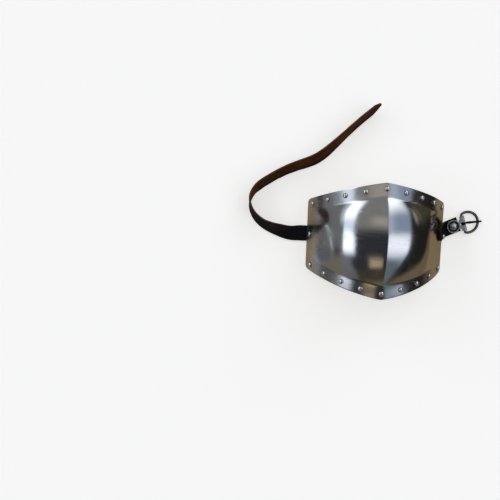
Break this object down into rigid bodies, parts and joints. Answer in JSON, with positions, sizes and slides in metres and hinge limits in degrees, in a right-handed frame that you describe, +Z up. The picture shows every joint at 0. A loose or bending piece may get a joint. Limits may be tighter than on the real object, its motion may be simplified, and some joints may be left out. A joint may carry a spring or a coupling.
{
  "type": "plate armour couter (elbow cop)",
  "caption": "Fluted steel elbow cop of plate armour with riveted turned edges, a long black leather strap on one wing and a ring buckle on a short strap on the other.",
  "frame": {"origin": "middle of the whole part's footprint, on the table it lies on", "axes": "+X across the arm, from the wing with the long strap to the wing with the buckle; +Y along the arm and the plate's ridge; +Z up, out of the dome"},
  "size_m": [0.2946, 0.237, 0.0799],
  "materials": {
    "polished_steel": "hand-polished mild steel with fine brushing marks",
    "black_leather": "black dyed grain side, reddish-brown flesh side and cut edges",
    "dark_metal": "antiqued gunmetal casting, worn brighter on the high spots"
  },
  "bodies": {
    "couter": {"couter_plate": "polished_steel", "long_strap": "black_leather", "buckle_strap": "black_leather", "chape": "dark_metal", "rosette": "dark_metal", "rosette_rivet": "polished_steel", "strap_rivet": "polished_steel", "buckle_strap_rivet": "polished_steel", "rivet_top_1": "polished_steel", "rivet_top_2": "polished_steel", "rivet_top_3": "polished_steel", "rivet_top_4": "polished_steel", "rivet_top_5": "polished_steel", "rivet_top_6": "polished_steel", "rivet_top_7": "polished_steel", "rivet_top_8": "polished_steel", "rivet_top_9": "polished_steel", "rivet_bottom_1": "polished_steel", "rivet_bottom_2": "polished_steel", "rivet_bottom_3": "polished_steel", "rivet_bottom_4": "polished_steel", "rivet_bottom_5": "polished_steel", "rivet_bottom_6": "polished_steel", "rivet_bottom_7": "polished_steel", "rivet_bottom_8": "polished_steel", "rivet_bottom_9": "polished_steel"},
    "ring": {"buckle_ring": "dark_metal"},
    "tongue": {"tongue": "dark_metal"}
  },
  "joints": [
    {"name": "ring_hinge", "type": "hinge", "parent": "couter", "child": "ring", "pos_m": [0.12489, -0.02859, 0.0031], "axis": [0.2924, -0.9563, 0], "range_deg": [0, 75]},
    {"name": "tongue_hinge", "type": "hinge", "parent": "ring", "child": "tongue", "pos_m": [0.12489, -0.02859, 0.0031], "axis": [0.2924, -0.9563, 0], "range_deg": [0, 45]}
  ]
}
